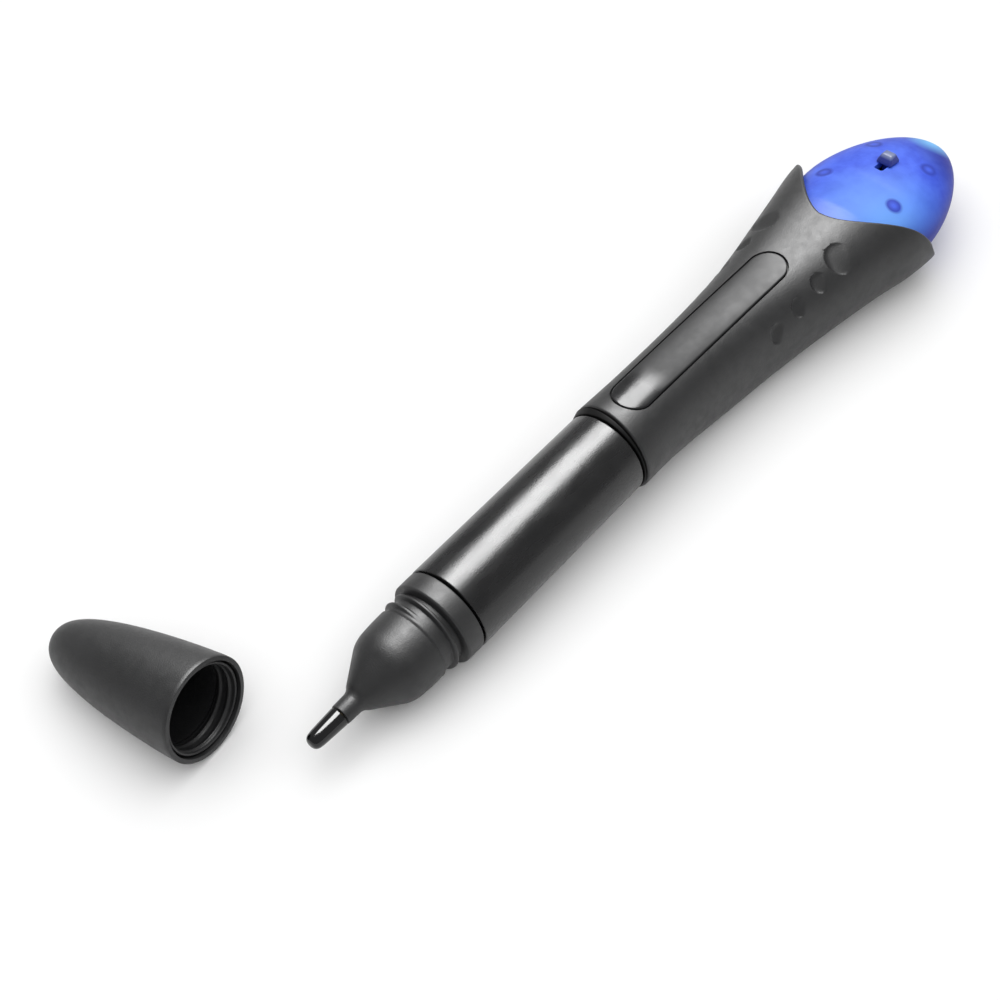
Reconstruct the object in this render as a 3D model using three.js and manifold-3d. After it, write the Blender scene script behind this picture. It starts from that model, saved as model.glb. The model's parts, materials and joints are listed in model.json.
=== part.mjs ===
// A detector pen that lies on a table with its cap beside it. A marker cartridge plugs into the front
// of a grip housing, and a blue lamp head with a small UV lamp plugs into the scoop at its back.
// Millimetres, +Z up. The pen's own axis is tilted head-up by the housing's flat underside.
import * as THREE from "three";
import { ParametricGeometry } from "three/addons/geometries/ParametricGeometry.js";
import { mergeVertices } from "three/addons/utils/BufferGeometryUtils.js";
import Module from "manifold-3d";

const wasm = await Module();
wasm.setup();

// ---- Driving dimensions. Along the pen, x is 0 at the groove between the collar and the barrel. ----
const CLEAR = 0.3; // gap between pieces that touch
const ROUND = 28; // segments round a big turned piece
const SMALL_ROUND = 16; // segments round a small one

const BARREL = { front: 0.3, back: 40.5, frontR: 8.1, backR: 7.9, boreR: 6.6 };
const SPIGOT = { r: 5.1, boreR: 4.0, end: 57 };
const COLLAR = { front: -3.7, back: -0.15, r: 8.05 };
const NOSE = { threadR: 6.6, plugR: 6.0, plugEnd: 5.5, boreR: 5.0, nozzleEnd: -24.9, nozzleBoreR: 0.95 };
const TIP = { end: -31.7, back: -25.2, r: 1.78, boreR: 0.75, boreEnd: -29.6 };
const THREAD = { ribR: 0.4, x: -6.9, pitch: 1.9, turns: 1.25 };

const MOUTH = { x: 41.9, slant: 0.6, r: 8.35 }; // the housing's front edge is slanted in plan
const WALL = 1.5; // wall of the housing
const RIM_WALL = 1.35; // wall of the housing at its scooped rim
const SCOOP = { top: 101, side: 13.2, hook: 2.6, lip: 5.5, lipFrom: 70, lipOver: 70 };
const PAD = { from: 44.5, to: 89, halfWidth: 3.55, thick: 0.5, recess: 0.8 };
const DIMPLE = { x: [77.6, 83.7, 89.7, 95.8], y: 8.3, depth: 0.6, r: 4 };

const LENS = { wall: 1.4, skirt: 5, widestX: 116, halfWidth: 13.5, top: 4.65, rise: 0.187, apexX: 138.6, apexZ: -5 };
const LENS_DEPTH = 7; // from the apex's height down to the lens's underside

const DECK = { x: 120, z: 3.82, slope: 12 }; // the lens's flat-looking top, which the circuit board follows
const SLOT = { from: 119.1, to: 123.9, width: 1.9 };
const KNOB = { x: 122.4, base: 3.2, topLength: 1.7, topWidth: 2.2, height: 1.7, travel: 2 };
const BOARD = { top: -4.6, thick: 1, from: 109.5, to: 128.6, notchFrom: 123, notchHalf: 3.4 };
const SCREWS = [[113.2, 7.2], [126.9, 5.9]]; // x and distance from the middle plane
const SCREW = { headR: 1.45, headHeight: 0.8, shankR: 0.6, length: 4.2, holeR: 0.95 };
const FRAME = { top: -6.9, plateTop: -8.1, plateThick: 1.2, bossR: 1.9 };

const CELL = { r: 5.8, thick: 5.4, z: -3.4, front: 80.5, count: 3 };
const CARRIER = { front: 75, floor: 1.2, boreR: 6.05, r: 6.5, back: 97.2 };
const LED = { x: 124.4, z: -5.4, r: 2.5, flangeR: 2.9, flange: 1, body: 5 };

const CAP = { length: 32, r: 9, belly: 1.35, nose: 3, boreR: 7.3, threadFrom: 27.4, linerR: 7.85, linerBoreR: 7.4 };
const CAP_MOUTH = { x: -38.3, y: 15.65, yaw: -83, pitch: 7 }; // where the cap lies, mouth towards the tip

const TILT = THREE.MathUtils.degToRad(2.78); // head-up tilt of the pen at rest
const PEN_HEIGHT = COLLAR.r * Math.cos(TILT) - COLLAR.front * Math.sin(TILT); // groove above the table
const FOOTPRINT_MIDDLE = { x: 45.432, y: 15.98 }; // middle of the whole object seen from above

// ---- Curves along the pen ----

// Smooth value along the pen through a few [x, value] pairs.
function along(...pairs) {
  const curve = new THREE.CubicInterpolant(pairs.map((p) => p[0]), pairs.map((p) => p[1]), 1);
  return (x) => curve.evaluate(x)[0];
}

const halfWidthAt = along(
  [38, 8.45], [42, 8.35], [51, 7.85], [63, 7.95], [71, 8.35], [79, 9.1], [87, 10.3],
  [95, 11.75], [103, 13.2], [112, 15], [116, 15.3], [121, 14.8],
);
const topAt = along(
  [38, 8.55], [50, 8.6], [58, 8.35], [74, 7.65], [89, 7.05], [96, 7.45], [104, 8.4], [121, 8.8],
);
const centreAt = along([38, 0.1], [51, -0.5], [67, -1.9], [79, -2.5], [99, -2.5], [109, -3.1], [121, -4.2]);
const bottomAt = along(
  [38, -8.2], [47, -8.9], [55, -10.15], [67, -11.8], [79, -12.6], [90, -13], [99, -13.4],
  [112, -14.1], [121, -13.9],
);
const squarenessAt = along([38, 2], [44, 2.02], [55, 2.2], [121, 2.25]);

// Height of the table in the pen's tilted frame.
function tableAt(x) {
  return -(PEN_HEIGHT + x * Math.sin(TILT)) / Math.cos(TILT);
}

// Point of an egg-shaped section at an angle from the top: superellipse halves above and below a centre.
function eggPoint(x, angle, halfWidth, centre, top, bottom, squareness) {
  const across = Math.sin(angle);
  const up = Math.cos(angle);
  const power = 2 / squareness;
  const half = up > 0 ? top - centre : centre - bottom;
  const y = halfWidth * Math.sign(across) * Math.abs(across) ** power;
  return [x, y, centre + half * Math.sign(up) * Math.abs(up) ** power];
}

// Point on the housing's surface, or a given depth below it. The underside is flat where it meets the table.
function housingPoint(x, angle, depth) {
  const [, y, z] = eggPoint(
    x, angle, halfWidthAt(x) - depth, centreAt(x), topAt(x) - depth, bottomAt(x) + depth, squarenessAt(x),
  );
  return [x, y, Math.max(z, tableAt(x) + depth)];
}

function mouthX(angle) {
  return MOUTH.x + MOUTH.slant * Math.sin(angle);
}

// The scooped rim runs back from the top to the sides and a little further to the lip below.
// Between the top and one side it reaches further back, as a pointed hook.
function rimX(angle) {
  const fromTop = Math.abs(Math.atan2(Math.sin(angle), Math.cos(angle)));
  const degrees = THREE.MathUtils.radToDeg(fromTop);
  const side = Math.sin(Math.min(fromTop, Math.PI / 2)) ** 2;
  const hook = fromTop < Math.PI / 2 ? Math.max(0, Math.sin(2 * angle)) : 0;
  return SCOOP.top + SCOOP.side * side + SCOOP.hook * hook
    + SCOOP.lip * THREE.MathUtils.smoothstep(degrees, SCOOP.lipFrom, SCOOP.lipFrom + SCOOP.lipOver);
}

// How much of its full size the lens still has on its way to the apex.
function taper(t, start, end) {
  return (1 - THREE.MathUtils.clamp(t, 0, 1) ** start) ** (1 / end);
}

function lensPoint(x, angle, depth) {
  const t = Math.max(0, (x - LENS.widestX) / (LENS.apexX - depth - LENS.widestX));
  const inside = WALL + CLEAR;
  const centre = x < LENS.widestX ? centreAt(x) : THREE.MathUtils.lerp(centreAt(LENS.widestX), LENS.apexZ, t);
  const slopeTop = LENS.top + Math.max(0, LENS.widestX - x) * LENS.rise;
  const top = Math.min(slopeTop, topAt(x) - inside) - depth;
  const halfWidth = Math.min(LENS.halfWidth, halfWidthAt(x) - inside) - depth;
  const bottom = LENS.apexZ - LENS_DEPTH + depth;
  return eggPoint(
    x,
    angle,
    x < LENS.widestX ? halfWidth : (LENS.halfWidth - depth) * taper(t, 1.7, 1.8),
    centre,
    x < LENS.widestX ? top : LENS.apexZ + (LENS.top - depth - LENS.apexZ) * taper(t, 1.25, 1.75),
    LENS.apexZ + (bottom - LENS.apexZ) * taper(t, 2.4, 2),
    2.2,
  );
}

// ---- Geometry helpers ----

function toSolid(geometry) {
  const plain = geometry.clone();
  plain.deleteAttribute("normal");
  plain.deleteAttribute("uv");
  const merged = mergeVertices(plain, 1e-4);
  return new wasm.Manifold(new wasm.Mesh({
    numProp: 3,
    vertProperties: merged.attributes.position.array,
    triVerts: new Uint32Array(merged.index.array),
  }));
}

function toGeometry(solid) {
  const mesh = solid.getMesh();
  const geometry = new THREE.BufferGeometry();
  geometry.setAttribute("position", new THREE.BufferAttribute(mesh.vertProperties, 3));
  geometry.setIndex(new THREE.BufferAttribute(mesh.triVerts, 1));
  geometry.computeVertexNormals();
  return geometry;
}

function join(base, ...others) {
  return toGeometry(others.reduce((sum, g) => sum.add(toSolid(g)), toSolid(base)));
}

function cut(base, ...tools) {
  return toGeometry(tools.reduce((rest, g) => rest.subtract(toSolid(g)), toSolid(base)));
}

function common(a, b) {
  return toGeometry(toSolid(a).intersect(toSolid(b)));
}

// Turned piece round the pen's axis from [x, radius] points, outside from front to back, then inside back.
function turned(points, segments = ROUND) {
  const profile = points.map(([x, r]) => new THREE.Vector2(r, x));
  return new THREE.LatheGeometry(profile, segments).rotateZ(-Math.PI / 2);
}

// Closed tube-like piece: its turned outline is closed back to the first point.
function turnedRing(points, segments = ROUND) {
  return turned([...points, points[0]], segments);
}

// Closed surface through a loop of rings. Each ring gives the point at an angle from the top.
function skin(rings, around) {
  const place = (u, v, target) => {
    const ring = rings[Math.round(u * rings.length) % rings.length];
    target.set(...ring(2 * Math.PI * v));
  };
  return new ParametricGeometry(place, rings.length, around);
}

function plate(shape, thick, curveSegments = 8) {
  return new THREE.ExtrudeGeometry(shape, { depth: thick, bevelEnabled: false, curveSegments });
}

function rod(r, length, segments = SMALL_ROUND) {
  return new THREE.CylinderGeometry(r, r, length, segments).rotateX(Math.PI / 2);
}

// Round wire or rib along a curve.
function wire(curve, r, steps, sides) {
  const section = new THREE.Shape().absarc(0, 0, r, 0, 2 * Math.PI);
  return new THREE.ExtrudeGeometry(section, { extrudePath: curve, steps, curveSegments: sides });
}

class Helix extends THREE.Curve {
  constructor(x, r, pitch, turns, centreZ = 0) {
    super();
    Object.assign(this, { x, r, pitch, turns, centreZ });
  }
  getPoint(t, target = new THREE.Vector3()) {
    const angle = 2 * Math.PI * this.turns * t;
    const x = this.x + this.pitch * this.turns * t;
    return target.set(x, this.r * Math.sin(angle), this.centreZ + this.r * Math.cos(angle));
  }
}

// ---- Finishes ----

const FINISH = {
  housing: { color: 0x2b2c2f, roughness: 0.6, metalness: 0 },
  gloss: { color: 0x0c0c0d, roughness: 0.18, metalness: 0 },
  pad: { color: 0x55575a, roughness: 0.3, metalness: 0.1 },
  lens: { color: 0x1f63c9, roughness: 0.35, metalness: 0 },
  rubber: { color: 0x17181a, roughness: 0.8, metalness: 0 },
  felt: { color: 0xd8c9a0, roughness: 0.95, metalness: 0 },
  steel: { color: 0xb8bbc0, roughness: 0.3, metalness: 1 },
  white: { color: 0xdadcde, roughness: 0.5, metalness: 0 },
  board: { color: 0x1d5a38, roughness: 0.45, metalness: 0 },
  lamp: { color: 0xcdb8f2, roughness: 0.1, metalness: 0 },
  knob: { color: 0xb9bec6, roughness: 0.45, metalness: 0 },
  wireRed: { color: 0x8c1d1d, roughness: 0.5, metalness: 0 },
};

function piece(name, geometry, finish) {
  const mesh = new THREE.Mesh(geometry, new THREE.MeshStandardMaterial(FINISH[finish]));
  mesh.name = name;
  return mesh;
}

// ---- Marker cartridge ----

function noseGeometry() {
  const body = turnedRing([
    [NOSE.nozzleEnd, 1.84], [-21.9, 1.92], [-21.2, 2.25], [-20.8, 2.65], [-15.3, 6.2], [-14.3, 6.58],
    [-13.1, 6.78], [-10.8, 6.92], [-8.3, 6.97], [-7.6, NOSE.threadR], [COLLAR.front - 0.25, NOSE.threadR],
    [COLLAR.front, COLLAR.r - 0.2], [COLLAR.front + 0.2, COLLAR.r], [COLLAR.back, COLLAR.r],
    [COLLAR.back, NOSE.plugR], [NOSE.plugEnd, NOSE.plugR], [NOSE.plugEnd, NOSE.boreR],
    [-12, NOSE.boreR], [-18.6, NOSE.nozzleBoreR], [NOSE.nozzleEnd, NOSE.nozzleBoreR],
  ]);
  const rib = wire(new Helix(THREAD.x, NOSE.threadR + 0.25, THREAD.pitch, THREAD.turns), THREAD.ribR, 22, 2);
  return join(body, rib);
}

function barrelGeometry() {
  return turnedRing([
    [BARREL.front, BARREL.frontR - 0.15], [BARREL.front + 0.15, BARREL.frontR], [BARREL.back - 0.3, BARREL.backR],
    [BARREL.back, BARREL.backR - 0.3], [BARREL.back, SPIGOT.r], [SPIGOT.end, SPIGOT.r],
    [SPIGOT.end, SPIGOT.boreR], [39, SPIGOT.boreR], [37.5, BARREL.boreR], [2, BARREL.boreR],
    [2, BARREL.boreR + 0.6], [BARREL.front, BARREL.boreR + 0.6],
  ]);
}

function cartridge() {
  const group = new THREE.Group();
  const ring = new THREE.TorusGeometry(6.6, 0.28, 5, 20).rotateY(Math.PI / 2).translate(1.2, 0, 0);
  const reservoir = turned([[6, 0], [6, 5.9], [6.4, 6.2], [36.4, 6.2], [36.8, 5.9], [36.8, 0]], 20);
  const plug = turned([[51, 0], [51, 3.7], [57.3, 3.7], [57.3, 4.9], [58.6, 4.9], [58.6, 0]], 20);
  const nib = turned([
    [-29, 0], [-28.8, 0.35], [-27.6, 0.44], [-19, 0.44], [-17, 0.6], [-15, 1.8], [5.6, 1.8], [5.6, 0],
  ], 12);
  group.add(
    piece("nose_cone", noseGeometry(), "housing"),
    piece("nose_seal_ring", ring, "rubber"),
    piece("marker_barrel", barrelGeometry(), "gloss"),
    piece("fluid_reservoir", reservoir, "felt"),
    piece("barrel_end_plug", plug, "housing"),
    piece("felt_nib", nib, "felt"),
  );
  return group;
}

function tipCover() {
  return piece("tip_cover", turned([
    [TIP.end, 0], [TIP.end + 0.12, 0.8], [TIP.end + 0.5, 1.25], [TIP.end + 1.3, 1.54],
    [TIP.back - 0.2, TIP.r], [TIP.back, TIP.r - 0.1], [TIP.back, TIP.boreR], [TIP.boreEnd, TIP.boreR],
    [TIP.boreEnd, 0],
  ], SMALL_ROUND), "gloss");
}

// ---- Grip ----

const HOUSING_RINGS = 12;
const HOUSING_AROUND = 32;

// The housing's solid form at a depth below its surface, closed at both ends.
function housingForm(depth, from, to) {
  const rings = [() => [from, 0, centreAt(from)]];
  for (let i = 0; i <= HOUSING_RINGS; i++) {
    const x = THREE.MathUtils.lerp(from, to, i / HOUSING_RINGS);
    rings.push((angle) => housingPoint(x, angle, depth));
  }
  rings.push(() => [to, 0, centreAt(to)]);
  return skin(rings, HOUSING_AROUND);
}

// Outline of the oval pad seen from above, grown by a margin.
function padPrism(margin) {
  const r = PAD.halfWidth + margin;
  const shape = new THREE.Shape();
  shape.absarc(PAD.from + PAD.halfWidth, 0, r, Math.PI / 2, 1.5 * Math.PI);
  shape.absarc(PAD.to - PAD.halfWidth, 0, r, -Math.PI / 2, Math.PI / 2);
  return plate(shape, 12, 6);
}

function housingGeometry() {
  const wallAt = (share) => THREE.MathUtils.lerp(WALL, RIM_WALL, share ** 3);
  const ring = (share, inner) => (angle) => {
    const x = THREE.MathUtils.lerp(mouthX(angle), rimX(angle), share);
    return housingPoint(x, angle, inner ? wallAt(share) : 0);
  };
  const shares = Array.from({ length: HOUSING_RINGS + 1 }, (_, i) => i / HOUSING_RINGS);
  const outer = shares.map((share) => ring(share, false));
  const inner = shares.toReversed().map((share) => ring(share, true));
  const recess = cut(padPrism(CLEAR), housingForm(PAD.recess, 40, 99));
  const dimples = DIMPLE.x.flatMap((x) => [1, -1].map((side) => {
    const angle = Math.asin((DIMPLE.y / halfWidthAt(x)) ** (squarenessAt(x) / 2));
    const [, y, z] = housingPoint(x, side * angle, 0);
    const out = new THREE.Vector3(-0.25, side * 0.62, 0.78).normalize();
    const centre = new THREE.Vector3(x, y, z).addScaledVector(out, DIMPLE.r - DIMPLE.depth);
    return new THREE.SphereGeometry(DIMPLE.r, 16, 10).translate(centre.x, centre.y, centre.z);
  }));
  return cut(skin([...outer, ...inner], HOUSING_AROUND), recess, ...dimples);
}

function padGeometry() {
  const slab = cut(padPrism(0), housingForm(PAD.thick, 40, 99));
  return common(slab, housingForm(0, 40, 99));
}

function bushGeometry() {
  const flange = turnedRing([
    [40.8, 7.9], [40.95, 8.05], [43, 8.42], [43, 5.6], [56.5, 5.95], [56.5, 5.4], [40.8, 5.4],
  ]);
  const block = new THREE.Shape().moveTo(mouthX(-Math.PI / 2) - CLEAR, -MOUTH.r);
  block.lineTo(mouthX(Math.PI / 2) - CLEAR, MOUTH.r).lineTo(50, MOUTH.r + 9).lineTo(50, -MOUTH.r - 9);
  const behind = cut(plate(block, 20).translate(0, 0, -10), turned([[39, 0], [39, 5.95], [58, 5.95], [58, 0]]));
  return cut(flange, behind);
}

function buttonCell(index) {
  const x = CELL.front + index * (CELL.thick + CLEAR);
  const can = turned([
    [0, 0], [0, 4.3], [0.3, 4.5], [0.6, CELL.r - 0.3], [0.9, CELL.r], [CELL.thick, CELL.r], [CELL.thick, 0],
  ], 24);
  return piece(`button_cell_${index + 1}`, can.translate(x, 0, CELL.z), "steel");
}

function grip() {
  const group = new THREE.Group();
  const carrier = turnedRing([
    [CARRIER.front, CARRIER.r], [CARRIER.back, CARRIER.r], [CARRIER.back, CARRIER.boreR],
    [CARRIER.front + CARRIER.floor, CARRIER.boreR], [CARRIER.front + CARRIER.floor, 1.5], [CARRIER.front, 1.5],
  ], 24).translate(0, 0, CELL.z);
  const springFront = CARRIER.front + CARRIER.floor + 0.6;
  const spring = wire(new Helix(springFront, 3.4, 1.1, 2.5, CELL.z), 0.25, 32, 2);
  group.add(
    piece("grip_housing", housingGeometry(), "housing"),
    piece("grip_bush", bushGeometry(), "gloss"),
    piece("label_pad", padGeometry(), "pad"),
    piece("battery_carrier", carrier, "white"),
    piece("contact_spring", spring, "steel"),
    ...Array.from({ length: CELL.count }, (_, i) => buttonCell(i)),
  );
  return group;
}

// ---- Lamp head ----

const LENS_RINGS = 11;
const LENS_AROUND = 30;

function lensGeometry() {
  const ring = (step, depth) => (angle) => {
    const back = rimX(angle) - LENS.skirt;
    const share = Math.sin((step / LENS_RINGS) * Math.PI / 2);
    return lensPoint(THREE.MathUtils.lerp(back, LENS.apexX - depth, share), angle, depth);
  };
  const steps = Array.from({ length: LENS_RINGS + 1 }, (_, i) => i);
  const outer = steps.map((step) => ring(step, 0));
  const inner = steps.toReversed().map((step) => ring(step, LENS.wall));
  const slot = new THREE.BoxGeometry(SLOT.to - SLOT.from, SLOT.width, 8)
    .translate((SLOT.from + SLOT.to) / 2, 0, DECK.z);
  return cut(skin([...outer, ...inner], LENS_AROUND), slot);
}

// Board or frame outline: wide at the back, narrow at the front, with an optional notch for the lamp.
function deckShape(from, to, backHalf, frontHalf, notched) {
  const shape = new THREE.Shape().moveTo(from - DECK.x, -backHalf + 2).lineTo(from - DECK.x, backHalf - 2);
  shape.quadraticCurveTo(from - DECK.x, backHalf, from - DECK.x + 2, backHalf);
  shape.lineTo(to - DECK.x, frontHalf);
  if (notched) {
    shape.lineTo(to - DECK.x, BOARD.notchHalf).lineTo(BOARD.notchFrom - DECK.x, BOARD.notchHalf);
    shape.lineTo(BOARD.notchFrom - DECK.x, -BOARD.notchHalf).lineTo(to - DECK.x, -BOARD.notchHalf);
  }
  shape.lineTo(to - DECK.x, -frontHalf).lineTo(from - DECK.x + 2, -backHalf);
  shape.quadraticCurveTo(from - DECK.x, -backHalf, from - DECK.x, -backHalf + 2);
  return shape;
}

function screwPlaces() {
  return SCREWS.flatMap(([x, y]) => [[x - DECK.x, y], [x - DECK.x, -y]]);
}

function screwHoles(r) {
  return screwPlaces().map(([x, y]) => rod(r, 30, 12).translate(x, y, 0));
}

function lampFrameGeometry() {
  const base = plate(deckShape(BOARD.from, BOARD.to, 9.1, 7.4, true), FRAME.plateThick)
    .translate(0, 0, FRAME.plateTop - FRAME.plateThick);
  const bossHeight = FRAME.top - FRAME.plateTop + 0.4;
  const bosses = screwPlaces().map(([x, y]) =>
    rod(FRAME.bossR, bossHeight, SMALL_ROUND).translate(x, y, FRAME.top - bossHeight / 2));
  return cut(join(base, ...bosses), ...screwHoles(SCREW.holeR));
}

function screw(index, [x, y]) {
  const under = BOARD.top + CLEAR;
  const profile = [
    [under - SCREW.length, 0], [under - SCREW.length, SCREW.shankR * 0.6], [under - SCREW.length + 0.6, SCREW.shankR],
    [under, SCREW.shankR], [under, SCREW.headR], [under + SCREW.headHeight * 0.6, SCREW.headR],
    [under + SCREW.headHeight, SCREW.headR - 0.35], [under + SCREW.headHeight, 0],
  ];
  const upright = new THREE.LatheGeometry(profile.map(([h, r]) => new THREE.Vector2(r, h)), 14);
  return piece(`frame_screw_${index + 1}`, upright.rotateX(Math.PI / 2).translate(x, y, 0), "steel");
}

// Tapered thumb knob with a stem that reaches down through the lens's slot to the switch.
function knobGeometry() {
  const taperTo = { x: KNOB.topLength / KNOB.base, y: KNOB.topWidth / KNOB.base };
  const cap = new THREE.BoxGeometry(KNOB.base, KNOB.base, KNOB.height, 1, 1, 2);
  const p = cap.attributes.position;
  for (let i = 0; i < p.count; i++) {
    const up = THREE.MathUtils.clamp(p.getZ(i) / KNOB.height + 0.5, 0, 1) ** 1.5;
    p.setX(i, p.getX(i) * THREE.MathUtils.lerp(1, taperTo.x, up));
    p.setY(i, p.getY(i) * THREE.MathUtils.lerp(1, taperTo.y, up));
  }
  const stem = new THREE.BoxGeometry(1.3, 1.2, 3.6);
  return join(cap.translate(0, 0, KNOB.height / 2 + 0.35), stem.translate(0, 0, 0.6 - 3.6 / 2));
}

function switchBodyGeometry() {
  const body = new THREE.BoxGeometry(7, 3.4, 2.1).translate(0, 0, BOARD.top + CLEAR + 1.05);
  const well = new THREE.BoxGeometry(5, 1.8, 2.1).translate(0, 0, BOARD.top + CLEAR + 1.65);
  return cut(body, well);
}

function ledLead(name, side) {
  const y = side * 1.27;
  const path = new THREE.CatmullRomCurve3([
    new THREE.Vector3(LED.x - CLEAR, y, LED.z), new THREE.Vector3(122.9, y, LED.z),
    new THREE.Vector3(121.8, y, LED.z + 0.7), new THREE.Vector3(121.6, y, -2.95),
  ]);
  return piece(name, wire(path, 0.25, 8, 3), "steel");
}

function batteryWire(name, side, finish) {
  const path = new THREE.CatmullRomCurve3([
    new THREE.Vector3(98.9, side * 2.5, -3.4), new THREE.Vector3(102, side * 3, -3),
    new THREE.Vector3(106, side * 4.6, -1.6), new THREE.Vector3(109.6, side * 5, -0.5),
  ]);
  return piece(name, wire(path, 0.4, 10, 3), finish);
}

function lamp() {
  const group = new THREE.Group();
  const deck = new THREE.Group();
  deck.position.set(DECK.x, 0, DECK.z);
  deck.rotation.y = THREE.MathUtils.degToRad(DECK.slope);
  const board = cut(
    plate(deckShape(BOARD.from, BOARD.to, 9.1, 7.4, true), BOARD.thick).translate(0, 0, BOARD.top - BOARD.thick),
    ...screwHoles(SCREW.holeR),
  );
  const resistor = new THREE.BoxGeometry(2, 1.25, 0.6).translate(-7, 3.5, BOARD.top + CLEAR + 0.3);
  deck.add(
    piece("lamp_frame", lampFrameGeometry(), "white"),
    piece("circuit_board", board, "board"),
    piece("switch_body", switchBodyGeometry().translate(KNOB.x - 1 - DECK.x, 0, 0), "housing"),
    piece("board_resistor", resistor, "gloss"),
    ...screwPlaces().map((place, i) => screw(i, place)),
  );
  const lampBulb = turned([
    [LED.x, 0], [LED.x, LED.flangeR], [LED.x + LED.flange, LED.flangeR], [LED.x + LED.flange, LED.r],
    [LED.x + LED.body, LED.r], [LED.x + LED.body + 1.25, 2.17], [LED.x + LED.body + 2.17, 1.25],
    [LED.x + LED.body + 2.5, 0],
  ], SMALL_ROUND).translate(0, 0, LED.z);
  const contact = turned([[97.9, 0], [97.9, 5.4], [98.4, 5.4], [98.4, 0]], 20).translate(0, 0, CELL.z);
  group.add(
    deck,
    piece("lamp_lens", lensGeometry(), "lens"),
    piece("uv_led", lampBulb, "lamp"),
    ledLead("led_lead_left", 1),
    ledLead("led_lead_right", -1),
    piece("battery_contact", contact, "steel"),
    batteryWire("battery_wire_red", 1, "wireRed"),
    batteryWire("battery_wire_black", -1, "gloss"),
  );
  return group;
}

function switchKnob() {
  const deck = new THREE.Group();
  deck.position.set(DECK.x, 0, DECK.z);
  deck.rotation.y = THREE.MathUtils.degToRad(DECK.slope);
  deck.add(piece("switch_knob", knobGeometry().translate(KNOB.x - DECK.x, 0, 0), "knob"));
  return deck;
}

// ---- Cap, in its own frame: closed end at x = 0, mouth at x = CAP.length ----

function capR(x) {
  return CAP.r * (1 - (1 - x / CAP.length) ** CAP.belly) ** (1 / CAP.nose);
}

function capShellGeometry() {
  const outer = Array.from({ length: 13 }, (_, i) => {
    const x = CAP.length * (1 - Math.cos((i / 12) * Math.PI / 2)) * 0.985;
    return [x, capR(x)];
  });
  return turned([
    ...outer, [CAP.length, CAP.r - 0.25], [CAP.length, CAP.linerR + CLEAR],
    [CAP.threadFrom, CAP.linerR + CLEAR], [CAP.threadFrom, CAP.boreR], [20, CAP.boreR - 0.1], [12, 6.1],
    [6, 4.6], [2.6, 3.5], [2.3, 0],
  ]);
}

function cap() {
  const group = new THREE.Group();
  const end = CAP.length - 0.5;
  const liner = turnedRing([
    [CAP.threadFrom + CLEAR, CAP.linerR], [end, CAP.linerR], [end, CAP.linerBoreR],
    [end - 1.2, CAP.linerBoreR], [end - 1.5, CAP.linerBoreR - 0.25], [end - 1.8, CAP.linerBoreR],
    [CAP.threadFrom + CLEAR, CAP.linerBoreR],
  ]);
  const seal = turnedRing([[2.9, 2.9], [3.9, 3.3], [3.9, 1.9], [2.9, 1.9]], SMALL_ROUND);
  group.add(
    piece("cap_shell", capShellGeometry(), "housing"),
    piece("cap_thread_liner", liner, "housing"),
    piece("cap_seal", seal, "rubber"),
  );
  group.children.forEach((mesh) => mesh.geometry.translate(-CAP.length, 0, 0));
  const pitch = THREE.MathUtils.degToRad(CAP_MOUTH.pitch);
  const heights = Array.from({ length: 65 }, (_, i) => CAP.length * i / 64)
    .map((x) => (CAP.length - x) * Math.sin(pitch) + capR(x) * Math.cos(pitch));
  group.rotation.set(0, -pitch, THREE.MathUtils.degToRad(CAP_MOUTH.yaw), "ZYX");
  group.position.set(CAP_MOUTH.x, CAP_MOUTH.y, Math.max(...heights));
  return group;
}

// ---- Assembly ----

const pen = new THREE.Group();
pen.add(cartridge(), tipCover(), grip(), lamp(), switchKnob());
pen.rotation.y = -TILT;
pen.position.z = PEN_HEIGHT;

const layout = new THREE.Group();
layout.add(pen, cap());
layout.position.set(-FOOTPRINT_MIDDLE.x, -FOOTPRINT_MIDDLE.y, 0);

const group = new THREE.Group();
group.name = "detector_pen";
group.add(layout);

export default group;
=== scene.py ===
"""Looks of a detector pen with its cap beside it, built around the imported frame."""
import json
import math

import bmesh
import bpy
import numpy as np
from mathutils import Matrix, Vector


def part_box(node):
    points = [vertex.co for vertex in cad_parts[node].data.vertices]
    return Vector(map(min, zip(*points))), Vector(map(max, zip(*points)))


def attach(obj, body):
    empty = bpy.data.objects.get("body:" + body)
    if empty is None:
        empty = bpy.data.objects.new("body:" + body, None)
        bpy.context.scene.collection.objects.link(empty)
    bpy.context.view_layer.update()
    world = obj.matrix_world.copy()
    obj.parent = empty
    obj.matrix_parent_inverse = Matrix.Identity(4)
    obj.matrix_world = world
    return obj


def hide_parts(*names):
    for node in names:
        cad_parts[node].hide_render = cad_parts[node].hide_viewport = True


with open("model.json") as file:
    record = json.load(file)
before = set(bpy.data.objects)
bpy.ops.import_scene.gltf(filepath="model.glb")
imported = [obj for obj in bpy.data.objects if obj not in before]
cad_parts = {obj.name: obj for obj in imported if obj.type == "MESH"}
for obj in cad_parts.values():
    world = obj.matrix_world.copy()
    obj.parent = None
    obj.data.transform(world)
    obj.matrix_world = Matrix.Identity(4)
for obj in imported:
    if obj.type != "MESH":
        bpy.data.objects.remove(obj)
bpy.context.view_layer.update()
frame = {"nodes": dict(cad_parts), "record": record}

MM = 0.001

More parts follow.
